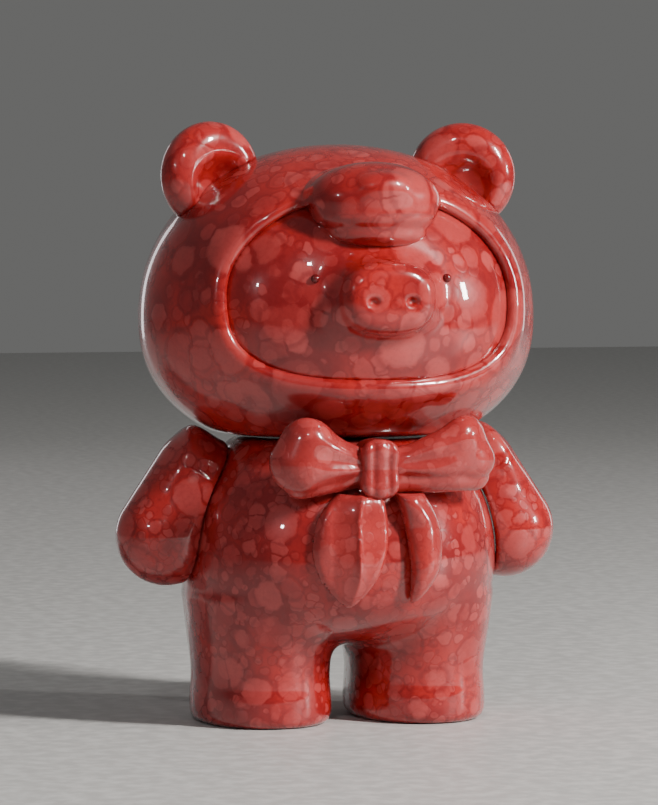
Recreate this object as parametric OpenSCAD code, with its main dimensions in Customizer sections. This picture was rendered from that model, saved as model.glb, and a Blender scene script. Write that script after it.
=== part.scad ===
// Articulated vinyl figure: a piglet in a hood with bear ears and a bear's muzzle, with a bow at its neck.
// Millimetres, +Z up, the face towards -Y. The origin is on the floor, under the neck's axis.
// Every vinyl piece is a hollow shell. The joints are hard-plastic pegs that snap into bushes.

/* [Head] */
// Half the width of the head at its widest
head_half_w = 40; // [39:0.5:41]
// From the neck's axis to the front of the head
head_front = 34.6; // [34.4:0.1:35]
// From the neck's axis to the back of the head
head_back = 39.4; // [39:0.1:39.8]
// Height of the widest part of the head above the floor
head_z = 81; // [80.5:0.5:81.5]
// Height of the crown above the widest part
head_up = 34.4; // [33:0.2:35]
// Depth of the underside below the widest part, before it is cut flat
head_down = 27.8; // [27.4:0.2:28.2]
// Height of the head's flat underside above the floor
head_base = 57.4; // [57.4:0.1:57.6]

/* [Face] */
// Half the width of the hood's face opening
face_half_w = 28.4; // [27.6:0.2:29]
// Height of the face opening's widest line above the floor
face_z = 85.2; // [84.6:0.2:86]
// Half height of the opening above that line
face_up = 19.6; // [19:0.2:20.2]
// Half height of the opening below that line
face_down = 15.7; // [15.1:0.2:16.3]
// How far the face lies below the hood's surface
face_sink = 1.1; // [0.8:0.1:1.5]
// Distance of the snout's flat end from the neck's axis
snout_reach = 39.4; // [39:0.1:39.8]

/* [Ears] */
// Radius of an ear
ear_r = 10.8; // [10:0.2:11.4]
// Distance of an ear's middle from the centre plane
ear_x = 26.6; // [26:0.2:27.4]
// Height of an ear's middle above the floor
ear_z = 109; // [108:0.5:110]

/* [Body] */
// Radius of the round torso
torso_r = 31.8; // [31.6:0.1:32]
// Height of the torso's middle above the floor
torso_z = 33; // [32.8:0.1:33.2]
// Height of the belly's lowest point above the floor
belly_z = 15.5; // [14:0.5:17]
// Distance of a leg's middle from the centre plane
leg_x = 16.1; // [15.8:0.1:16.4]
// Half the width of a leg
leg_half_w = 13.7; // [13.4:0.1:14]
// Half the depth of a leg, front to back
leg_half_d = 18; // [16:0.5:19]
// Wall thickness of the vinyl shells
wall = 2.2; // [1.8:0.1:2.4]

/* [Arms] */
// Tilt of a shoulder's axis above the horizontal, in degrees
shoulder_tilt = 30; // [28:1:31]
// Radius of the shoulder end of an arm
shoulder_r = 8.6; // [8.2:0.1:8.7]
// Radius of the hand
hand_r = 10.1; // [9.6:0.1:10.2]

/* [Bow] */
// Half the width of the knot
knot_half_w = 4.6; // [4:0.1:4.8]
// Height of the knot's middle above the floor
knot_z = 51.2; // [51:0.1:51.6]
// Thickness of a flattened loop, front to back
loop_deep = 7; // [6:0.2:7.4]
// How far a tail stands out from the chest
tail_deep = 3.4; // [2.6:0.2:4]

/* [Hidden] */

// Gap between a movable piece and the piece that it moves against
gap = 0.4;
// Clearance around a glued spigot
glue = 0.12;
// How much smaller a pilot hole is than the bore that is cut through it
pilot = 0.4;
// Radial clearance of a running fit
run = 0.05;
// Superellipse exponents of the head and its opening above and below their widest parts, and of the belly
head_n_up = 2.1;
head_n_low = 2.3;
face_n_up = 2;
face_n_low = 2.9;
belly_n = 2.4;
// Top of the body, under the head
body_top = head_base - gap;
// Neck joint
neck_shaft_r = 4;
neck_hub_r = 8;
neck_flange_r = 12;
neck_snap_z = 62.8;
// Shoulder joint, measured along its axis from the torso's middle
shoulder_shaft_r = 2.5;
shoulder_hub_r = 4.4;
peg_hub_r = 4;
arm_seat = torso_r + gap;
// Middle of the shoulder end and of the hand, in the arm's own plane
shoulder_at = [29.2, 49.6];
hand_at = [35.4, 37.6];
// Rounded edge that carries the shoulder up to the head: its tube, its ring and its place on the axis
rim_tube = 2.3;
rim_ring = 6;
rim_at = 37.4;

// How much deeper the face's glued flange lies than the inside of the hood
flange_gap = 0.4;
// Radius of the round rim of an ear, and of the peg that it is glued in by
ear_tube = 4.4;
ear_peg_r = 2;
// How far the ears are turned to face inwards, in degrees
ear_yaw = 18;
eye_x = 13.3;
eye_z = 89;
eye_r = 1;
eye_turn = 17;
eye_lift = 14;
snout_z = 85.2;
nostril_x = 3.9;
muzzle_z = 103.4;

// Middles of the beads that a loop or a tail is drawn round, in the plane seen from the front
right_loop_at = [
    [-4, 52.4], [-10, 55.6], [-15.4, 58.4], [-18.2, 57.4], [-19.2, 54], [-18, 50.6], [-12, 49.8], [-4, 50],
];
left_loop_at = [[4, 52.4], [11, 56], [17.8, 58], [20, 54.4], [20.2, 51.6], [12, 50.4], [4, 50]];
right_tail_at = [
    [-3.6, 46], [-8.6, 41.4], [-10, 34.6], [-8.4, 30.6], [-5.6, 27.8], [-3, 31], [-1, 36], [-0.6, 44],
];
left_tail_at = [[5.6, 45.4], [6.8, 37], [7.2, 31], [7.6, 28.4], [9.2, 33], [10.2, 38.6], [8.6, 44]];
bead_r = 3.4;
tail_bead_r = 2.2;

// Superellipse: the ordinate at abscissa t, both from 0 to 1
function arc_of(t, n) = pow(max(0, 1 - pow(t, n)), 1 / n);
// How wide the head is at height z, as a share of its widest, for a surface "off" inside the outer one
function head_share(z, off) = z >= head_z
    ? arc_of((z - head_z) / (head_up - off), head_n_up)
    : arc_of((head_z - z) / (head_down - off), head_n_low);
// Distance of the head's front surface from the neck's axis plane at x, z
function head_front_at(x, z, off) =
    (head_front - off) * sqrt(pow(head_share(z, off), 2) - pow(x / (head_half_w - off), 2));
// One ring of an egg-shaped section: the front and back halves have their own depths
function ring(rx, front, back, z, sides) = [for (i = [0:sides - 1]) let(a = 360 * i / sides)
    [rx * cos(a), (sin(a) < 0 ? front : back) * sin(a), z]];

// Closed skin through rings of equal length, from the lowest to the highest
module loft(rings) {
    n = len(rings[0]);
    m = len(rings);
    polyhedron(
        points = [for (r = rings) each r],
        faces = concat(
            [[for (i = [0:n - 1]) i]],
            [for (j = [0:m - 2], i = [0:n - 1]) let(a = j * n + i, b = j * n + (i + 1) % n)
                [a, a + n, b + n, b]],
            [[for (i = [n - 1:-1:0]) (m - 1) * n + i]]
        )
    );
}

// Makes a freeform shell one closed skin of facets; sizes of 0 leave its shape as it is
module one_skin() { resize([0, 0, 0]) children(); }

module mirrored(side) { mirror([side < 0 ? 1 : 0, 0, 0]) children(); }

// The head's solid egg, "off" inside its outer surface, from height base up, in "fine" rings a half
module head_egg(off, base, fine = 8) {
    low = asin((head_z - base) / (head_down - off));
    lower = [for (i = [0:fine - 1]) head_z - (head_down - off) * sin(low * (1 - i / fine))];
    upper = [for (i = [0:fine + 1]) head_z + (head_up - off) * sin(i * 87 / (fine + 1))];
    loft([for (z = concat(lower, upper)) let(k = head_share(z, off))
        ring((head_half_w - off) * k, (head_front - off) * k, (head_back - off) * k, z, 5.5 * fine)]);
}

// The head's hollow
module head_cavity(off, base) { head_egg(off, base, 6); }

// What the head's underside sweeps as it turns, grown by "grow"
module head_sweep(grow) {
    rotate_extrude($fn = 48) polygon(concat(
        [[0, head_base - grow], [head_half_w * head_share(head_base, 0) + grow / 2, head_base - grow]],
        [for (i = [1:10]) let(z = head_base + i * 1.6)
            [head_half_w * head_share(z, 0) + grow, z - grow / 2]],
        [[0, head_base + 16]]
    ));
}

// The face opening's outline as a prism from the head's middle forwards, grown by "grow"
module face_prism(grow) {
    rotate([90, 0, 0]) linear_extrude(60) polygon([for (i = [0:59])
        let(a = 6 * i, c = cos(a), s = sin(a))
        let(h = s > 0 ? face_up : face_down, n = s > 0 ? face_n_up : face_n_low)
        [(face_half_w + grow) * sign(c) * pow(abs(c), 2 / n),
         face_z + (h + grow) * sign(s) * pow(abs(s), 2 / n)]]);
}

module ellipsoid(at, half, sides = 32) {
    translate(at) scale(half) sphere(r = 1, $fn = sides);
}

// Places a child that is drawn up the Z axis on the shoulder's axis of one side
module on_shoulder(side) {
    translate([0, 0, torso_z]) rotate([0, side * (90 - shoulder_tilt), 0]) children();
}

module ear_peg(side, r) {
    translate([side * ear_x, 0, ear_z]) rotate([0, side * -135, 0]) cylinder(r = r, h = 16, $fn = 24);
}

module head_hood() color("firebrick") difference() {
    one_skin() difference() {
        head_egg(0, head_base);
        head_cavity(wall, head_base + wall);
        face_prism(0);
    }
    translate([0, 0, head_base - 1]) cylinder(r = neck_hub_r + glue, h = wall + 2, $fn = 48);
    for (side = [-1, 1]) ear_peg(side, ear_peg_r + glue);
}

// The snout's solid, "off" inside its outer surface
module snout(off) {
    end = snout_reach;
    hull() for (s = [[28, 9.9, 7.5], [end - 2, 9.2, 7.1], [end - 0.6, 8.5, 6.5], [end, 7.1, 5.3]])
        translate([0, off - s[0], snout_z]) rotate([90, 0, 0])
            linear_extrude(0.01) scale([s[1] - off, s[2] - off]) circle(r = 1, $fn = 32);
}

// Places a child that is drawn up the Z axis on an eye's place, square to the face
module on_eye(side) {
    translate([side * eye_x, -head_front_at(eye_x, eye_z, face_sink), eye_z])
        rotate([90 - eye_lift, 0, side * eye_turn]) children();
}

module face_plate() color("indianred") difference() {
    one_skin() difference() {
        union() {
            // The part that shows in the opening
            intersection() {
                head_egg(face_sink, head_base);
                face_prism(-0.25);
            }
            // The flange that is glued behind the hood's edge
            intersection() {
                head_egg(wall + flange_gap, head_base);
                face_prism(2.2);
            }
            difference() {
                snout(0);
                head_egg(face_sink + 1, head_base);
            }
        }
        head_cavity(face_sink + wall, head_base);
        snout(wall);
        for (side = [-1, 1]) translate([side * nostril_x, 1.1 - snout_reach, snout_z - 0.55])
            rotate([90, 0, 0]) cylinder(r = 1, h = 4, $fn = 24);
    }
    for (side = [-1, 1]) on_eye(side) translate([0, 0, -1.6]) cylinder(r = 0.8 + glue, h = 3, $fn = 24);
}

// A bead with a pin that is glued into the face
module eye(side) color("darkred") on_eye(side) rotate_extrude($fn = 32) polygon(concat(
    [[0, -1.5], [0.8, -1.5], [0.8, 0.15]],
    [for (a = [0:10:90]) [eye_r * cos(a), 0.15 + eye_r * sin(a)]]
));

module hood_muzzle() color("indianred") one_skin() difference() {
    union() {
        ellipsoid([0, -25.4, muzzle_z + 0.9], [13.2, 10.6, 7.4], 40);
        ellipsoid([0, -26.4, muzzle_z - 2.8], [11.6, 9, 3.2], 32);
        ellipsoid([0, -26.8, muzzle_z - 6.2], [9.8, 7.6, 2.7], 32);
    }
    head_egg(0, head_base);
}

module ear(side) color("firebrick") one_skin() difference() {
    translate([side * ear_x, 0, ear_z]) rotate([90, 0, -side * ear_yaw]) rotate_extrude($fn = 40) hull() {
        translate([ear_r - ear_tube, 0]) circle(r = ear_tube, $fn = 24);
        translate([0, -ear_tube]) square([1, 2 * ear_tube]);
    }
    // Scoop in the ear's front
    translate([side * ear_x, 0, ear_z]) rotate([0, 0, -side * ear_yaw])
        ellipsoid([0, -5.55, -1.7], [5.7, 4, 5.1]);
    difference() {
        head_egg(0, head_base);
        ear_peg(side, ear_peg_r);
    }
    head_cavity(wall + 1, head_base);
}

// A leg's solid, "off" inside its outer surface: a round-edged foot that widens into the hip
module leg(side, off, sides) {
    translate([side * leg_x, 0, 0]) loft([
        for (s = [[0, -1.7, -1.7], [0.6, -0.6, -0.6], [1.8, 0, 0], [8, 0, 0.4], [14, 0.2, 1.6],
                  [20, 1.2, 3.2], [26, 1.6, 4], [30, 0, 3]])
            let(rx = leg_half_w + s[1] - off, ry = leg_half_d + s[2] - off)
            ring(rx, ry, ry, max(s[0], s[0] < 1 ? s[0] + off : s[0]), sides)
    ]);
}

module torso(off, sides, fine) {
    top = asin((body_top - off - torso_z) / (torso_r - off));
    low = torso_z - belly_z - off;
    rotate_extrude($fn = sides) polygon(concat(
        [for (i = [0:fine]) let(a = 90 * (1 - i / (fine + 1)))
            [(torso_r - off) * arc_of(sin(a), belly_n), torso_z - low * sin(a)]],
        [for (i = [0:fine]) let(a = top * i / fine)
            [(torso_r - off) * cos(a), torso_z + (torso_r - off) * sin(a)]],
        [[0, body_top - off]]
    ));
}

// The body's round holes for the neck post and the shoulder bushes, smaller by "less"
module body_bores(less) {
    translate([0, 0, body_top - wall - 1]) cylinder(r = neck_hub_r + glue - less, h = wall + 2, $fn = 48);
    for (side = [-1, 1]) on_shoulder(side)
        cylinder(r = shoulder_hub_r + glue - less, h = torso_r + 5, $fn = 32);
}

module body_shell() color("firebrick") difference() {
    one_skin() difference() {
        union() {
            torso(0, 48, 8);
            for (side = [-1, 1]) leg(side, 0, 36);
        }
        torso(wall, 28, 5);
        for (side = [-1, 1]) leg(side, wall, 20);
        body_bores(pilot);
    }
    body_bores(0);
}

// Fixed under the body's top wall, with a snap head that holds the head on
module neck_post() color("gainsboro") rotate_extrude($fn = 64) polygon([
    [0, body_top - wall - 1.6], [neck_flange_r, body_top - wall - 1.6], [neck_flange_r, body_top - wall],
    [neck_hub_r, body_top - wall], [neck_hub_r, head_base - 0.1], [neck_shaft_r, head_base - 0.1],
    [neck_shaft_r, neck_snap_z], [neck_shaft_r + 1, neck_snap_z + 0.6],
    [neck_shaft_r - 1, neck_snap_z + 3.4], [0, neck_snap_z + 3.4],
]);

// Glued into the head's underside; it turns on the post
module neck_socket() color("gainsboro") rotate_extrude($fn = 64) polygon([
    [neck_shaft_r + run, head_base], [neck_hub_r, head_base], [neck_hub_r, head_base + wall],
    [neck_flange_r, head_base + wall], [neck_flange_r, head_base + wall + 1.6],
    [neck_hub_r, head_base + wall + 1.6], [neck_hub_r, neck_snap_z - 0.1],
    [neck_shaft_r + run, neck_snap_z - 0.1],
]);

// Glued into the torso; the arm's peg turns in it
module shoulder_bush(side) color("gainsboro") on_shoulder(side) rotate_extrude($fn = 48) polygon([
    [shoulder_shaft_r + run, 26.9], [6.6, 26.9], [6.6, 28.4], [shoulder_hub_r, 28.4],
    [shoulder_hub_r, torso_r - 0.4], [shoulder_shaft_r + run, torso_r - 0.4],
]);

// Glued into the arm; its snap end holds the arm on and turns in the bush
module arm_peg(side) color("gainsboro") on_shoulder(side) rotate_extrude($fn = 48) polygon([
    [0, 23.9], [1.7, 23.9], [3.1, 26.1], [shoulder_shaft_r, 26.7], [shoulder_shaft_r, arm_seat],
    [peg_hub_r, arm_seat], [peg_hub_r, arm_seat + wall + 0.1], [5.4, arm_seat + wall + 0.1],
    [5.4, arm_seat + wall + 1.5], [0, arm_seat + wall + 1.5],
]);

// An arm's solid, "off" inside its outer surface
module arm_lobe(off, sides) {
    hull() {
        translate([shoulder_at[0], 0, shoulder_at[1]]) sphere(r = shoulder_r - off, $fn = sides);
        translate([hand_at[0], 0, hand_at[1]]) sphere(r = hand_r - off, $fn = sides);
        if (off == 0) on_shoulder(1) rotate_extrude($fn = sides)
            translate([rim_ring, rim_at]) circle(r = rim_tube, $fn = 16);
    }
}

module arm_bore(less) {
    on_shoulder(1) cylinder(r = peg_hub_r + glue - less, h = arm_seat + wall + 0.2, $fn = 32);
}

// A hollow arm whose inner face is round about the torso's middle, so that it slides over the torso
module arm(side) color("firebrick") mirrored(side) difference() {
    one_skin() difference() {
        arm_lobe(0, 32);
        difference() {
            arm_lobe(wall, 20);
            translate([0, 0, torso_z]) sphere(r = arm_seat + wall, $fn = 48);
        }
        translate([0, 0, torso_z]) sphere(r = arm_seat, $fn = 60);
        arm_bore(pilot);
    }
    arm_bore(0);
}

// The torso's round front, which the bow is glued on
module chest() { translate([0, 0, torso_z]) sphere(r = torso_r + 0.08, $fn = 60); }

// Distance of the chest's surface ahead of the neck's axis at a place seen from the front
function chest_at(p) = sqrt(pow(torso_r, 2) - pow(p[0], 2) - pow(p[1] - torso_z, 2));

module knot_lump() {
    hull() for (s = [[-4.4, 1.2, 3], [0, 1.6, 3.6], [3.8, 1.2, 3]])
        ellipsoid([0.3, -28.8, knot_z + s[0]], [knot_half_w - (s[0] == 0 ? 0.6 : 0), 3 + s[1], s[2]], 24);
}

module bow_knot() color("indianred") one_skin() difference() {
    knot_lump();
    chest();
    head_sweep(gap);
}

module loop_lump(side) {
    hull() for (p = side > 0 ? left_loop_at : right_loop_at)
        ellipsoid([p[0], -29 + abs(p[0]) / 12, p[1]], [bead_r, loop_deep / 2, bead_r], 20);
}

module bow_loop(side) color("indianred") one_skin() difference() {
    loop_lump(side);
    chest();
    knot_lump();
    head_sweep(gap);
}

module bow_tail(side) color("indianred") one_skin() difference() {
    hull() for (p = side > 0 ? left_tail_at : right_tail_at)
        ellipsoid([p[0], -chest_at(p), p[1]], [tail_bead_r, tail_deep, tail_bead_r], 20);
    chest();
    knot_lump();
    for (s = [-1, 1]) loop_lump(s);
}

body_shell();
neck_post();
shoulder_bush(1);  // left_shoulder_bush
shoulder_bush(-1);  // right_shoulder_bush
bow_knot();
bow_loop(1);  // left_bow_loop
bow_loop(-1);  // right_bow_loop
bow_tail(1);  // left_bow_tail
bow_tail(-1);  // right_bow_tail
head_hood();
face_plate();
eye(1);  // left_eye
eye(-1);  // right_eye
hood_muzzle();
ear(1);  // left_ear
ear(-1);  // right_ear
neck_socket();
arm(1);  // left_arm
arm_peg(1);  // left_arm_peg
arm(-1);  // right_arm
arm_peg(-1);  // right_arm_peg
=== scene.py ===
"""Looks of an articulated vinyl figure: a piglet in a bear hood, with a bow, in mottled red glaze.

Each visible vinyl piece is a solid field in millimetres (negative inside), skinned with quads and
projected onto the field, so that its soft folds and rounded rims are real geometry.
"""
import math

import bpy
import numpy as np
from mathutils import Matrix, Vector


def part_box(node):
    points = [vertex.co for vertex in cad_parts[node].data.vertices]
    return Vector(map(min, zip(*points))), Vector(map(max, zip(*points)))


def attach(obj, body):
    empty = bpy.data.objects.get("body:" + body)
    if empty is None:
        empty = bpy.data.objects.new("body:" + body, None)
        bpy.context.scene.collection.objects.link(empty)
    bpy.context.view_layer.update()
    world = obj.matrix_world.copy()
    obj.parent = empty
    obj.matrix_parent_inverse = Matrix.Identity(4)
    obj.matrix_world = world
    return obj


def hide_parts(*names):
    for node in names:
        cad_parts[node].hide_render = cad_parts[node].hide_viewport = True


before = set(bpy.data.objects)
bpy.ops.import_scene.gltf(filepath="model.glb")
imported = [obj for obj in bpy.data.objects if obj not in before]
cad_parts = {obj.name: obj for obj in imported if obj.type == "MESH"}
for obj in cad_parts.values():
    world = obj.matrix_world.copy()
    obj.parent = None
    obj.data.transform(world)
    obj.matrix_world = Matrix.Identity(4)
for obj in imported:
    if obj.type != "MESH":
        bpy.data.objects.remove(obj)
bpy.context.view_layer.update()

MM = 0.001


def corners(node):
    """Lowest and highest corner of a CAD node, in millimetres."""
    low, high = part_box(node)
    return np.array(low) / MM, np.array(high) / MM


# ---------------------------------------------------------------- sizes, in millimetres
WALL = 2.2                      # thickness of the vinyl
HOOD_LOW, HOOD_HIGH = corners("head_hood")
HEAD_HALF_W = HOOD_HIGH[0]
HEAD_BASE = HOOD_LOW[2]
HEAD_Z = HEAD_BASE + 23.6       # height of the head's widest part
HEAD_UP = HOOD_HIGH[2] - HEAD_Z
HEAD_DOWN = 27.8
HEAD_FRONT = 34.6
HEAD_BACK = HOOD_HIGH[1]
HEAD_N_UP, HEAD_N_LOW = 2.1, 2.3  # superellipse exponents above and below the widest part

OPENING_BACK = -8.0             # the face opening is cut only ahead of this
FACE_Z = 85.2
FACE_HALF_W = 28.4
FACE_UP = 19.6
FACE_DOWN = 15.7
FACE_N_UP, FACE_N_LOW = 2.0, 2.9
SNOUT_Z = 85.2
SNOUT_REACH = -corners("face_plate")[0][1]
NOSTRIL_X = 3.9
MUZZLE_Z = 103.4
EYE_X = 13.3
EYE_Z = 89.0

EAR_HIGH = corners("left_ear")[1]
EAR_R = 10.8
EAR_TUBE = 4.4
EAR_X = EAR_HIGH[0] - EAR_R
EAR_Z = EAR_HIGH[2] - EAR_R
EAR_YAW = math.radians(18)      # the ears face a little inwards

BODY_LOW, BODY_HIGH = corners("body_shell")
BODY_TOP = BODY_HIGH[2]
TORSO_R = BODY_HIGH[1]
TORSO_Z = 33.0
BELLY_Z = 15.5
BELLY_N = 2.4
LEG_X = 16.1
LEG_HALF_W = 13.7
LEG_HALF_D = 18.0
GAP = 0.4                       # clearance of an arm over the torso, and of the head over the body
NECK_BORE = 8.12
SHOULDER_BORE = 4.52
PEG_BORE = 4.12
SHOULDER_TILT = math.radians(30)
SHOULDER_AT, SHOULDER_R = (29.2, 0, 49.6), 8.6
HAND_AT, HAND_R = (35.4, 0, 37.6), 10.1
# Rounded edge that carries the shoulder up to the head: its place on the axis, its ring and its tube
RIM_AT, RIM_RING, RIM_TUBE = 37.4, 6.0, 2.3


# ---------------------------------------------------------------- field tools
def soft_min(a, b, k):
    """Union of two fields, blended over k."""
    h = np.maximum(k - np.abs(a - b), 0) / k
    return np.minimum(a, b) - h * h * k / 4


def soft_max(a, b, k):
    """Intersection of two fields, with an edge rounded over k."""
    return -soft_min(-a, -b, k)


def ramp(x, low, high):
    """0 below low, 1 above high, smooth between."""
    t = np.clip((x - low) / (high - low), 0, 1)
    return t * t * (3 - 2 * t)


def hump(x, centre, width):
    """A smooth bump that is 1 at its centre."""
    return np.exp(-((x - centre) / width) ** 2)


def ellipsoid(p, centre, radii):
    q = p - np.array(centre)
    radii = np.array(radii, float)
    near = np.sqrt(((q / radii) ** 2).sum(-1)) + 1e-9
    return near * (near - 1) / (np.sqrt(((q / radii ** 2) ** 2).sum(-1)) + 1e-9)


def ball(p, centre, radius):
    return np.sqrt(((p - np.array(centre)) ** 2).sum(-1)) - radius


def round_cone(p, a, b, ra, rb):
    """Two balls joined by the cone that touches both."""
    a, b = np.array(a, float), np.array(b, float)
    axis = b - a
    span = np.sqrt(axis @ axis)
    along = (p - a) @ axis / span
    away = np.sqrt(np.maximum(((p - a) ** 2).sum(-1) - along ** 2, 0))
    lean = (ra - rb) / span
    side = math.sqrt(1 - lean * lean)
    k = away * -lean + along * side
    cone = away * side + along * lean - ra
    first = np.hypot(away, along) - ra
    last = np.hypot(away, along - span) - rb
    return np.where(k < 0, first, np.where(k > side * span, last, cone))


def oval(u, v, half_u, half_v, n):
    """Distance to a superellipse in a plane."""
    su, sv = np.abs(u) / half_u + 1e-6, np.abs(v) / half_v + 1e-6
    g = (su ** n + sv ** n) ** (1 / n)
    slope = np.hypot((su / g) ** (n - 1) / half_u, (sv / g) ** (n - 1) / half_v)
    return (g - 1) / slope


def egg(p, middle, half_w, front, back, up, down, n_up, n_down):
    """Distance to a superellipsoid with its own depths and heights on each side of its middle."""
    x, y, z = p[:, 0], p[:, 1], p[:, 2] - middle
    depth = np.where(y < 0, front, back)
    height = np.where(z > 0, up, down)
    n = np.where(z > 0, n_up, n_down)
    rho = np.hypot(x / half_w, y / depth) + 1e-6
    zeta = np.abs(z) / height + 1e-6
    g = (rho ** n + zeta ** n) ** (1 / n)
    slope_rho = (rho / g) ** (n - 1) * (np.hypot(x / half_w ** 2, y / depth ** 2) + 1e-9) / rho
    slope_z = (zeta / g) ** (n - 1) / height
    return (g - 1) / np.hypot(slope_rho, slope_z)


def disc(u, v, centre, radius):
    """Distance to a round disc in a plane."""
    return np.hypot(u - centre[0], v - centre[1]) - radius


def shoulder_frame(p, side):
    """Place along a shoulder's axis, height above it and distance from it."""
    q = (p - np.array([0, 0, TORSO_Z])) * np.array([side, 1, 1])
    along = q[:, 0] * math.cos(SHOULDER_TILT) + q[:, 2] * math.sin(SHOULDER_TILT)
    up = q[:, 2] * math.cos(SHOULDER_TILT) - q[:, 0] * math.sin(SHOULDER_TILT)
    return along, up, np.hypot(up, q[:, 1])


def shoulder_distance(p, side):
    """Distance from a shoulder's axis, which runs up and out from the torso's middle."""
    along, _, away = shoulder_frame(p, side)
    return np.where(along > 0, away, 1e3)


# ---------------------------------------------------------------- meshing
def surface_net(field, low, high, step):
    """Quads of the surface where the field is 0: one vertex in each cell that it crosses."""
    low, high = np.array(low, float) - 2.5 * step, np.array(high, float) + 2.5 * step
    axes = [np.arange(a, b + step, step) for a, b in zip(low, high)]
    shape = tuple(len(a) for a in axes)
    grid = np.stack(np.meshgrid(*axes, indexing="ij"), -1).reshape(-1, 3)
    values = field(grid).reshape(shape)
    inside = values < 0
    units = np.eye(3, dtype=int)
    offsets = [(i, j, k) for i in (0, 1) for j in (0, 1) for k in (0, 1)]

    def shifted(a, o):
        return a[o[0]:shape[0] - 1 + o[0], o[1]:shape[1] - 1 + o[1], o[2]:shape[2] - 1 + o[2]]

    count = sum(shifted(inside, o).astype(np.int8) for o in offsets)
    active = (count > 0) & (count < 8)
    cells = np.argwhere(active)
    number = np.full(active.shape, -1)
    number[active] = np.arange(len(cells))

    total, hits = np.zeros((len(cells), 3)), np.zeros(len(cells))
    for axis in range(3):
        for o in offsets:
            if o[axis]:
                continue
            start = cells + np.array(o)
            a = values[tuple(start.T)]
            b = values[tuple((start + units[axis]).T)]
            cut = (a < 0) != (b < 0)
            t = a[cut] / (a[cut] - b[cut])
            total[cut] += start[cut] + t[:, None] * units[axis]
            hits[cut] += 1
    points = low + step * total / hits[:, None]

    quads = []
    for axis in range(3):
        u, v = units[(axis + 1) % 3], units[(axis + 2) % 3]
        ahead = np.roll(inside, -1, axis)
        nodes = np.argwhere(inside != ahead)
        nodes = nodes[(nodes > 0).all(1) & (nodes < np.array(shape) - 1).all(1)]
        ring = [number[tuple((nodes - s).T)] for s in (u + v, v, 0 * u, u)]
        ring = np.stack(ring, 1)
        flip = ~inside[tuple(nodes.T)]
        ring[flip] = ring[flip][:, ::-1]
        quads.append(ring)
    return points, np.concatenate(quads)


def slope_of(field, points, reach=0.03):
    """The field's gradient at points, by central differences."""
    parts = []
    for unit in np.eye(3):
        parts.append((field(points + reach * unit) - field(points - reach * unit)) / (2 * reach))
    return np.stack(parts, 1)


def settle(field, points, step, rounds):
    """Moves points along the gradient onto the field's surface."""
    for _ in range(rounds):
        g = slope_of(field, points)
        move = field(points) / np.maximum((g * g).sum(1), 0.05)
        points = points - np.clip(move, -step, step)[:, None] * g
    return points


def relax(points, quads):
    """Moves each vertex to the mean of its neighbours, which evens out the quads."""
    ends = np.concatenate([quads[:, [i, (i + 1) % 4]] for i in range(4)])
    total, count = np.zeros_like(points), np.zeros(len(points))
    for a, b in ((0, 1), (1, 0)):
        np.add.at(total, ends[:, a], points[ends[:, b]])
        np.add.at(count, ends[:, a], 1)
    return total / count[:, None]


def skin(name, field, low, high, step, body, slot, nodes, material):
    """Makes the piece of a field, and says which body and CAD nodes it stands for; its slot argument is not
    used.
    """
    points, quads = surface_net(field, low, high, step)
    points = settle(field, points, step, 3)
    points = settle(field, 0.5 * points + 0.5 * relax(points, quads), step, 3)
    mesh = bpy.data.meshes.new(name)
    mesh.from_pydata((points * MM).tolist(), [], quads.tolist())
    mesh.polygons.foreach_set("use_smooth", [True] * len(mesh.polygons))
    mesh.update()
    piece = bpy.data.objects.new(name, mesh)
    bpy.context.scene.collection.objects.link(piece)
    mesh.materials.append(material)
    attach(piece, body)
    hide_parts(*nodes)
    print(f"{name}: {len(points)} points, {len(quads)} quads")


# ---------------------------------------------------------------- materials
class Nodes:
    """Short calls for building a node tree."""

    def __init__(self, material):
        material.use_nodes = True
        self.tree = material.node_tree
        self.tree.nodes.clear()

    def add(self, kind, inputs=(), **settings):
        node = self.tree.nodes.new(kind)
        for key, value in settings.items():
            setattr(node, key, value)
        for key, value in dict(inputs).items():
            if isinstance(value, bpy.types.NodeSocket):
                self.tree.links.new(value, node.inputs[key])
            else:
                node.inputs[key].default_value = value
        return node

    def math(self, operation, a, b=0.0, c=0.0, clamp=False):
        return self.add("ShaderNodeMath", {0: a, 1: b, 2: c}, operation=operation, use_clamp=clamp).outputs[0]

    def noise(self, where, scale, detail, rough=0.5):
        inputs = {"Vector": where, "Scale": scale, "Detail": detail, "Roughness": rough}
        return self.add("ShaderNodeTexNoise", inputs).outputs["Fac"]

    def steps(self, value, low, high):
        """0 below low, 1 above high."""
        node = self.add("ShaderNodeMapRange", {"Value": value, "From Min": low, "From Max": high},
                        interpolation_type="SMOOTHSTEP")
        return node.outputs["Result"]

    def mix(self, factor, a, b):
        node = self.add("ShaderNodeMix", {"Factor": factor}, data_type="RGBA")
        for key, value in ((6, a), (7, b)):
            if isinstance(value, bpy.types.NodeSocket):
                self.tree.links.new(value, node.inputs[key])
            else:
                node.inputs[key].default_value = (*value, 1)
        return node.outputs[2]


DEEP_RED = (0.18, 0.003, 0.005)
BRIGHT_RED = (0.40, 0.015, 0.013)
PINK = (0.32, 0.020, 0.020)
PALE_PINK = (0.43, 0.052, 0.049)


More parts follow.
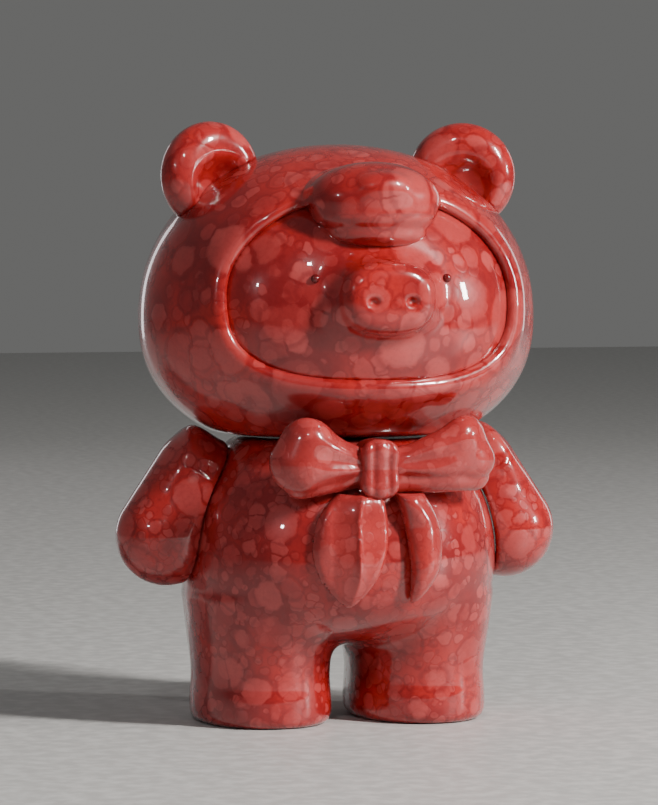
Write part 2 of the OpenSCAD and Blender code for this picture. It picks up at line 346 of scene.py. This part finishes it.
def spots(n, place, size, seed, least, spread, soft):
    """A layer of round spots of mixed radius: how far a point is in a spot, its vein and its own tint."""
    offset = (seed, seed * 1.7, seed * 0.6)
    shifted = n.add("ShaderNodeVectorMath", {0: place, 1: offset}, operation="ADD").outputs[0]
    near = n.add("ShaderNodeTexVoronoi", {"Vector": shifted, "Scale": 1 / size}, feature="F1")
    edge = n.add("ShaderNodeTexVoronoi", {"Vector": shifted, "Scale": 1 / size}, feature="DISTANCE_TO_EDGE")
    luck = n.add("ShaderNodeSeparateColor", {0: near.outputs["Color"]})
    radius = n.math("MULTIPLY_ADD", luck.outputs[0], spread, least)
    inside = n.math("MINIMUM", n.math("SUBTRACT", radius, near.outputs["Distance"]),
                    n.math("MULTIPLY", edge.outputs["Distance"], 1.4))
    body = n.steps(inside, 0.01, soft)
    outside = n.math("SUBTRACT", 1.0, n.steps(inside, 0.0, 0.05))
    rim = n.math("MULTIPLY", n.steps(inside, -0.09, -0.02), outside)
    return body, rim, luck.outputs[1]


def glaze(name, sizes, milk=0.06, crowd=1.0):
    """Mottled red glaze: paler cells of several sizes over a deep red ground, under a clear coat.
    milk is how much pale pink clouds all of it, and crowd is how strong the smallest cells are."""
    material = bpy.data.materials.new(name)
    n = Nodes(material)
    where = n.add("ShaderNodeTexCoord").outputs["Object"]
    place = n.add("ShaderNodeVectorMath", {0: where, "Scale": 1000.0}, operation="SCALE").outputs[0]
    drift = n.add("ShaderNodeTexNoise", {"Vector": place, "Scale": 0.35, "Detail": 2.0})
    centred = {0: drift.outputs["Color"], 1: (0.5, 0.5, 0.5)}
    bend = n.add("ShaderNodeVectorMath", centred, operation="SUBTRACT")
    bend = n.add("ShaderNodeVectorMath", {0: bend.outputs[0], "Scale": 1.6}, operation="SCALE")
    bent = n.add("ShaderNodeVectorMath", {0: place, 1: bend.outputs[0]}, operation="ADD").outputs[0]
    cloud = n.noise(place, 0.05, 3.0, 0.55)
    grain = n.noise(place, 1.3, 4.0, 0.65)

    colour = n.mix(n.steps(cloud, 0.36, 0.66), DEEP_RED, BRIGHT_RED)
    height, cover = 0.0, 0.0
    # From the small cells between the others up to the large ones on top
    for step, size in enumerate(sizes):
        body, rim, tint = spots(n, bent, size, 3.0 + 11 * step, 0.30, 0.30, 0.12)
        strength = n.math("MULTIPLY_ADD", tint, 0.55, 0.45)
        mask = n.math("MULTIPLY", n.math("MULTIPLY", body, strength), 0.85 * (crowd if step == 0 else 1.0),
                      clamp=True)
        colour = n.mix(n.math("MULTIPLY", rim, 0.55), colour, DEEP_RED)
        colour = n.mix(mask, colour, n.mix(n.steps(tint, 0.1, 0.9), PINK, PALE_PINK))
        height = n.math("MAXIMUM", height, body)
        cover = n.math("MAXIMUM", cover, mask)
    colour = n.mix(n.math("MULTIPLY_ADD", n.steps(grain, 0.40, 0.75), 0.06, milk), colour, PALE_PINK)
    colour = n.mix(n.math("MULTIPLY", n.steps(grain, 0.55, 0.30), 0.22), colour, DEEP_RED)

    peel = n.noise(place, 0.33, 2.0)
    relief = n.math("ADD", n.math("MULTIPLY", height, 0.05), n.math("MULTIPLY", peel, 0.10))
    bump = n.add("ShaderNodeBump", {"Height": relief, "Strength": 0.30, "Distance": 0.001}).outputs[0]
    shader = n.add("ShaderNodeBsdfPrincipled", {
        "Base Color": colour, "Roughness": n.math("MULTIPLY_ADD", cover, 0.12, 0.24), "Normal": bump,
        "IOR": 1.5,
        "Specular IOR Level": 0.2,
        "Coat Weight": 1.0, "Coat Roughness": 0.03, "Coat IOR": 1.5,
        "Subsurface Weight": 0.12, "Subsurface Radius": (1.0, 0.18, 0.12), "Subsurface Scale": 0.0016,
    })
    n.add("ShaderNodeOutputMaterial", {"Surface": shader.outputs[0]})
    return material


def plain_plastic(name, colour, rough):
    """Unpainted moulded plastic, faintly clouded."""
    material = bpy.data.materials.new(name)
    n = Nodes(material)
    where = n.add("ShaderNodeTexCoord").outputs["Object"]
    cloud = n.noise(where, 260.0, 4.0)
    shade = tuple(c * 0.82 for c in colour)
    tone = n.mix(n.steps(cloud, 0.35, 0.7), shade, colour)
    gloss = n.math("MULTIPLY_ADD", cloud, 0.2, rough)
    bump = n.add("ShaderNodeBump", {"Height": cloud, "Strength": 0.2, "Distance": 0.0002}).outputs[0]
    shader = n.add("ShaderNodeBsdfPrincipled", {"Base Color": tone, "Roughness": gloss, "Normal": bump})
    n.add("ShaderNodeOutputMaterial", {"Surface": shader.outputs[0]})
    return material


HOOD_GLAZE = glaze("hood_glaze", (3.6, 6.0, 11.0), crowd=0.7)
FACE_GLAZE = glaze("face_glaze", (3.4, 6.0, 11.0), crowd=0.8)
BODY_GLAZE = glaze("body_glaze", (2.4, 4.0, 7.0))
BOW_GLAZE = glaze("bow_glaze", (2.2, 4.6), milk=0.42, crowd=0.7)
EYE_ENAMEL = plain_plastic("eye_enamel", (0.13, 0.007, 0.008), 0.05)
JOINT_PLASTIC = plain_plastic("joint_plastic", (0.60, 0.57, 0.52), 0.35)


# ---------------------------------------------------------------- head
def head_egg(p):
    return egg(p, HEAD_Z, HEAD_HALF_W, HEAD_FRONT, HEAD_BACK, HEAD_UP, HEAD_DOWN,
               HEAD_N_UP, HEAD_N_LOW)


def opening(p):
    """Distance from the face opening's outline, negative inside it."""
    v = p[:, 2] - FACE_Z
    return oval(p[:, 0], v, FACE_HALF_W, np.where(v > 0, FACE_UP, FACE_DOWN),
                np.where(v > 0, FACE_N_UP, FACE_N_LOW))


def hood_field(p):
    e, o = head_egg(p), opening(p)
    front = p[:, 1] - OPENING_BACK
    rim = 0.8 * hump(o, 3.2, 2.4) * ramp(-front, 0, 6)
    outer = soft_max(e - rim, HEAD_BASE - p[:, 2], 1.6)
    outer = soft_max(outer, -np.maximum(o, front), 2.6)
    inner = np.maximum(e + WALL, HEAD_BASE + WALL - p[:, 2])
    shell = np.maximum(outer, -inner)
    neck = np.maximum(np.hypot(p[:, 0], p[:, 1]) - NECK_BORE, p[:, 2] - HEAD_BASE - 2 * WALL)
    return np.maximum(shell, -neck)


def face_sink(o):
    """How far the face lies below the head's surface: most along the opening's edge."""
    return 0.9 + 0.5 * hump(o, 0, 3.0)


def snout_field(p):
    v = p[:, 2] - SNOUT_Z
    ahead = -p[:, 1]
    taper = 1.9 * ramp(ahead, 30, SNOUT_REACH)
    side = oval(p[:, 0], v, 10.8 - taper, 7.9 - 0.6 * taper, 2.5)
    tip = ahead + 0.006 * (p[:, 0] ** 2 + 1.4 * v ** 2) - SNOUT_REACH
    body = soft_max(side, tip, 3.0)
    for x in (-NOSTRIL_X, NOSTRIL_X):
        pit = ellipsoid(p, (x, -SNOUT_REACH, SNOUT_Z - 0.6), (1.15, 1.3, 0.85))
        body = soft_max(body, -pit, 0.8)
    return body


def face_field(p):
    e, o = head_egg(p), opening(p)
    outer = e + face_sink(o)
    outer = soft_min(outer, np.maximum(snout_field(p), 26 + p[:, 1]), 3.2)
    shell = np.maximum(np.maximum(outer, -(e + face_sink(o) + WALL)), o - 0.2)
    flange = np.maximum(np.maximum(e + WALL + 0.4, -(e + 2 * WALL)), o - 2)
    return np.maximum(np.minimum(shell, flange), p[:, 1] - OPENING_BACK)


def head_front(x, z):
    """Distance of the head's front surface ahead of the neck's axis."""
    height = HEAD_UP if z > HEAD_Z else HEAD_DOWN
    n = HEAD_N_UP if z > HEAD_Z else HEAD_N_LOW
    share = (1 - (abs(z - HEAD_Z) / height) ** n) ** (1 / n)
    return HEAD_FRONT * math.sqrt(share ** 2 - (x / HEAD_HALF_W) ** 2)


def eye_field(p, side):
    y = -head_front(EYE_X, EYE_Z) + 0.8
    return ellipsoid(p, (side * EYE_X, y, EYE_Z), (0.85, 0.85, 0.85))


def muzzle_field(p):
    e = head_egg(p)
    dome = ellipsoid(p, (0, -25.2, MUZZLE_Z + 0.9), (13.3, 10.4, 7.3))
    lip = ellipsoid(p, (0, -26.2, MUZZLE_Z - 2.6), (11.9, 8.9, 3.6))
    roll = ellipsoid(p, (0, -26.6, MUZZLE_Z - 6.0), (10.0, 7.2, 3.0))
    nose = ellipsoid(p, (0, -33.8, MUZZLE_Z + 3.4), (4.2, 2.0, 2.0))
    f = soft_min(dome, nose, 2.8)
    f = soft_min(f, lip, 2.2)
    f = soft_min(f, roll, 2.0)
    fillet = np.maximum(soft_min(f, e + 0.3, 3.6), f - 2.6)
    f = np.minimum(f, np.maximum(fillet, -opening(p) + 0.6))
    into = 0.5 + 1.3 * ramp(-opening(p), -2, 2)
    return np.maximum(f, -(e + into))


def ear_field(p, side):
    """A round-rimmed disc, scooped in front and turned by EAR_YAW."""
    q = p - np.array([side * EAR_X, 0, EAR_Z])
    u = q[:, 0] * math.cos(EAR_YAW) - side * q[:, 1] * math.sin(EAR_YAW)
    w = side * q[:, 0] * math.sin(EAR_YAW) + q[:, 1] * math.cos(EAR_YAW)
    local = np.stack([u, w, q[:, 2]], 1)
    ear = np.hypot(np.maximum(np.hypot(u, q[:, 2]) - (EAR_R - EAR_TUBE), 0), w) - EAR_TUBE
    scoop = ellipsoid(local, (0, -5.4, -1.8), (5.6, 3.8, 5.0))
    f = soft_max(ear, -scoop, 2.4)
    return np.maximum(f, -(head_egg(p) + 0.1))


HOOD_BOX = (HOOD_LOW - 1, HOOD_HIGH + 1)
skin("hood", hood_field, *HOOD_BOX, 0.75, "head", "hood_red", ["head_hood"], HOOD_GLAZE)
skin("face", face_field, *corners("face_plate"), 0.45, "head", "face_red", ["face_plate"], FACE_GLAZE)
low, high = corners("hood_muzzle")
skin("bear_muzzle", muzzle_field, low - 3, high + 3, 0.4, "head", "hood_red", ["hood_muzzle"], HOOD_GLAZE)
for side, label in ((1, "left"), (-1, "right")):
    low, high = corners(f"{label}_ear")
    skin(f"{label}_bear_ear", lambda p, s=side: ear_field(p, s), low - 3, high + 3, 0.45, "head", "hood_red",
         [f"{label}_ear"], HOOD_GLAZE)
    low, high = corners(f"{label}_eye")
    skin(f"{label}_eye_bead", lambda p, s=side: eye_field(p, s), low - 1, high + 1, 0.2, "head", "eye_dark",
         [f"{label}_eye"], EYE_ENAMEL)


# ---------------------------------------------------------------- body
def legs_field(p):
    z = p[:, 2]
    hip = ramp(z, 8, 24)
    foot = 0.4 * hump(z, 3.5, 4.5)
    x = np.abs(p[:, 0]) - LEG_X
    column = oval(x, p[:, 1], LEG_HALF_W + 1.3 * hip + foot - 0.3, LEG_HALF_D + 4 * hip + foot - 0.3, 2.15)
    return soft_max(column, z - 31, 6)


def torso_field(p):
    return egg(p, TORSO_Z, TORSO_R, TORSO_R, TORSO_R, TORSO_R, TORSO_Z - BELLY_Z, 2.0, BELLY_N)


def body_field(p):
    z = p[:, 2]
    outer = soft_min(torso_field(p), legs_field(p), 3.4)
    # Where an arm slides over it, the body is round about the torso's middle
    below = 26.8 - z
    spare = 0.6 * (below + np.sqrt(below ** 2 + 1))
    outer = soft_max(outer, ball(p, (0, 0, TORSO_Z), TORSO_R) - spare, 0.05 + 2.0 * hump(z, 25.5, 3.5))
    outer = soft_max(outer, z - BODY_TOP, 1.4)
    outer = soft_max(outer, -z, 2.4)
    inner = np.maximum(np.maximum(outer, z - BODY_TOP), -z) + WALL
    f = np.maximum(outer, -inner)
    neck = np.maximum(np.hypot(p[:, 0], p[:, 1]) - NECK_BORE, BODY_TOP - 2 * WALL - z)
    f = np.maximum(f, -neck)
    for side in (-1, 1):
        f = np.maximum(f, SHOULDER_BORE - shoulder_distance(p, side))
    return f


def arm_field(p, side):
    along, up, away = shoulder_frame(p, side)
    cone = round_cone(p * np.array([side, 1, 1]), SHOULDER_AT, HAND_AT, SHOULDER_R, HAND_R)
    rim = np.hypot(np.maximum(away - RIM_RING, 0), along - RIM_AT) - RIM_TUBE
    lobe = soft_min(cone, rim, 3.0)
    # Clear of the head's underside at every angle of the arm
    room = away - 8.35 - 0.57 * np.maximum(33 - along, 0) - 20 * (1 - ramp(up, -2.5, 0))
    lobe = soft_max(lobe, room, 0.6)
    seat = ball(p, (0, 0, TORSO_Z), TORSO_R + 0.7 * GAP)
    f = soft_max(lobe, -seat, 0.7)
    hollow = np.maximum(lobe + WALL, -(seat - WALL))
    f = np.maximum(f, -hollow)
    bore = np.maximum(shoulder_distance(p, side) - PEG_BORE, seat - 2 * WALL)
    return np.maximum(f, -bore)


skin("body", body_field, BODY_LOW, BODY_HIGH, 0.75, "torso", "body_red", ["body_shell"], BODY_GLAZE)
for side, label in ((1, "left"), (-1, "right")):
    low, high = corners(f"{label}_arm")
    skin(f"{label}_flipper", lambda p, s=side: arm_field(p, s), low - 1, high + 1, 0.5,
         f"{label}_arm_body", "body_red", [f"{label}_arm"], BODY_GLAZE)


# ---------------------------------------------------------------- bow
KNOT_X, KNOT_Z = -0.4, 52.0
# Each loop is drawn round balls (x, z, radius): the puffed front, from the knot to its upper and lower
# corners, and the lower layer of ribbon behind it
LOOPS = {
    -1: {"low": ((-4, 52.2, 3.3), (-15.8, 53.0, 5.2)), "high": ((-4, 52.6, 3.1), (-14.2, 56.9, 4.9)),
         "layer": ((-4, 50.4, 2.3), (-15.6, 49.7, 3.4)), "flat": 1.3},
    1: {"low": ((4, 52.4, 3.0), (20.0, 53.4, 3.8)), "high": ((4, 53.0, 2.8), (17.8, 57.8, 3.9)),
        "layer": ((4, 50.0, 2.9), (20.2, 50.4, 3.3)), "flat": 1.05},
}
TAIL_TOP = 47.2
# Clearance between a bow piece and the chest that it is glued to
SEAT = 0.06


def chest_depth(p):
    """Height above the torso's round front."""
    return ball(p, (0, 0, TORSO_Z), TORSO_R)


def under_head(p):
    """Keeps a piece out of what the head's underside sweeps as it turns."""
    turned = p.copy()
    turned[:, 0] = np.hypot(p[:, 0], p[:, 1])
    turned[:, 1] = 0
    return GAP + 0.1 - np.maximum(head_egg(turned), HEAD_BASE - p[:, 2])


def loop_field(p, side):
    loop = LOOPS[side]
    reach = np.abs(p[:, 0])
    middle = -28.6 - 0.9 * ramp(reach, 4, 12) + 2.4 * ramp(reach, 14, 24)
    depth = (p[:, 1] - middle) * loop["flat"]

    def sausage(a, b, back=0.0):
        q = np.stack([p[:, 0], depth - back, p[:, 2]], 1)
        return round_cone(q, (a[0], 0, a[1]), (b[0], 0, b[1]), a[2], b[2])

    angle = np.arctan2(p[:, 2] - KNOT_Z, reach + 1)
    pleat = np.cos(angle * 15 + 0.6) * 0.38 * ramp(reach, 3, 7) * (1 - ramp(reach, 9, 16))
    front = soft_min(sausage(*loop["low"]), sausage(*loop["high"]), 1.6)
    front = soft_min(front, sausage(loop["low"][1], loop["high"][1]), 2.0)
    layer = sausage(*loop["layer"], 0.9)
    f = soft_min(front - pleat, layer, 0.5)
    f = soft_max(f, under_head(p), 0.8)
    f = np.maximum(f, 2.6 - reach)
    return np.maximum(f, SEAT - chest_depth(p))


def knot_field(p):
    q = p - np.array([KNOT_X, -29.2, KNOT_Z])
    groove = 0.5 * (hump(q[:, 0], -1.6, 0.7) + hump(q[:, 0], 1.5, 0.7))
    waist = 0.9 * hump(q[:, 2], 0, 3.0)
    side = oval(q[:, 0], q[:, 2], 4.6, 5.9, 2.6) + waist
    f = soft_max(side, np.abs(q[:, 1]) - 4.3 + groove + 0.5 * waist, 2.2)
    f = soft_max(f, under_head(p), 0.6)
    return np.maximum(f, SEAT - chest_depth(p))


def tail_outline(u, v, side):
    """A leaf between two arcs. The left tail's inner arc is hollow."""
    if side < 0:
        leaf = soft_max(disc(u, v, (-0.1, 36.4), 13.3), disc(u, v, (-20, 40.6), 21.2), 1.5)
    else:
        leaf = soft_max(disc(u, v, (-2, 37.4), 14.6), -disc(u, v, (-56, 28.5), 61.9), 1.5)
    return np.maximum(leaf, v - TAIL_TOP)


def tail_field(p, side):
    u, v = p[:, 0], p[:, 2]
    if side < 0:
        ridge = -5.2 + 1.0 * ramp(v, 42, 48) - 1.0 * ramp(-v, -31, -25)
        away = u - ridge
        fall = np.where(away < 0, 0.36 * np.minimum(-away, 4.5), 0.12 * away)
        lift = 2.7 - fall + 0.6 * np.exp(-np.abs(away) / 0.8) + 0.8 * hump(u, -11, 1.8) * ramp(v, 32, 40)
    else:
        spine = 8.9 - 3.0 * ramp(v, 40, 47) - 1.4 * ramp(-v, -34, -27)
        lift = 1.2 + 3.1 * hump(u, spine, 4.0)
    lift = lift * (0.35 + 0.65 * ramp(v, 24, 33))
    rise = chest_depth(p)
    lift = lift + 0.8 * ramp(v, 40, 46)
    f = soft_max(tail_outline(u, v, side), rise - lift, 1.5)
    f = np.maximum(f, p[:, 1] + 15)
    return np.maximum(f, SEAT - rise)


BOW_BOX_LOW, BOW_BOX_HIGH = np.array([-25, -38, 22.0]), np.array([26, -18, 64.0])
skin("knot", knot_field, (-7, -36, 43), (7, -20, 59), 0.35, "torso", "bow_red", ["bow_knot"], BOW_GLAZE)
for side, label in ((1, "left"), (-1, "right")):
    for part, field in (("loop", loop_field), ("tail", tail_field)):
        skin(f"{label}_{part}", lambda p, f=field, s=side: f(p, s), BOW_BOX_LOW, BOW_BOX_HIGH, 0.4,
             "torso", "bow_red", [f"{label}_bow_{part}"], BOW_GLAZE)

JOINT_PARTS = ("neck_post", "neck_socket", "left_shoulder_bush", "right_shoulder_bush",
               "left_arm_peg", "right_arm_peg")
for name in JOINT_PARTS:
    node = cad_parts[name]
    node.data.materials.clear()
    node.data.materials.append(JOINT_PLASTIC)


# ---------------------------------------------------------------- camera, light and floor
CAMERA_TURN, CAMERA_RISE = math.radians(-16), math.radians(2.8)
CAMERA_FAR = 0.8
AIM = Vector((0, 0, 0.0635))
back = Vector((math.sin(CAMERA_TURN) * math.cos(CAMERA_RISE), -math.cos(CAMERA_TURN) * math.cos(CAMERA_RISE),
               math.sin(CAMERA_RISE)))
right = Vector((math.cos(CAMERA_TURN), math.sin(CAMERA_TURN), 0))
camera = bpy.data.objects.new("camera", bpy.data.cameras.new("camera"))
bpy.context.scene.collection.objects.link(camera)
camera.data.lens = 177.8
camera.data.sensor_width = 36
camera.location = AIM + back * CAMERA_FAR - right * 0.0016
camera.rotation_euler = back.to_track_quat("Z", "Y").to_euler()
bpy.context.scene.camera = camera


def lamp(name, turn, rise, far, size, power, colour=(1, 1, 1), size_y=None):
    """Area light aimed at the figure, turn degrees to the viewer's right of the camera and rise above it."""
    a, e = math.radians(turn) + CAMERA_TURN, math.radians(rise)
    away = Vector((math.sin(a) * math.cos(e), -math.cos(a) * math.cos(e), math.sin(e)))
    data = bpy.data.lights.new(name, "AREA")
    data.energy = power
    data.color = colour
    data.shape = "RECTANGLE"
    data.size = size
    data.size_y = size_y or size
    light = bpy.data.objects.new(name, data)
    bpy.context.scene.collection.objects.link(light)
    light.location = Vector((0, 0, 0.065)) + away * far
    light.rotation_euler = away.to_track_quat("Z", "Y").to_euler()


lamp("key", 58, 32, 0.9, 0.07, 15.0, (1, 0.96, 0.92), 0.20)
lamp("window", 80, 12, 0.9, 0.05, 3.5, (1, 0.97, 0.94), 0.13)
lamp("spark", -8, 34, 1.0, 0.035, 0.9, (1, 0.98, 0.96))
lamp("left_spark", -42, 20, 1.0, 0.035, 0.7, (0.95, 0.97, 1.0))
lamp("left_rim", -150, 8, 0.9, 0.10, 0.35, (1, 0.93, 0.96), 0.4)
lamp("right_rim", 145, 8, 0.9, 0.10, 0.35, (1, 0.95, 0.95), 0.4)

world = bpy.data.worlds.new("studio")
world.use_nodes = True
world.node_tree.nodes["Background"].inputs[0].default_value = (0.14, 0.14, 0.137, 1)
world.node_tree.nodes["Background"].inputs[1].default_value = 1.0
bpy.context.scene.world = world

floor_mesh = bpy.data.meshes.new("floor")
floor_mesh.from_pydata([(-2, -2, 0), (2, -2, 0), (2, 2, 0), (-2, 2, 0)], [], [(0, 1, 2, 3)])
floor = bpy.data.objects.new("floor", floor_mesh)
bpy.context.scene.collection.objects.link(floor)
floor_mesh.materials.append(plain_plastic("floor_paint", (0.55, 0.55, 0.54), 0.4))
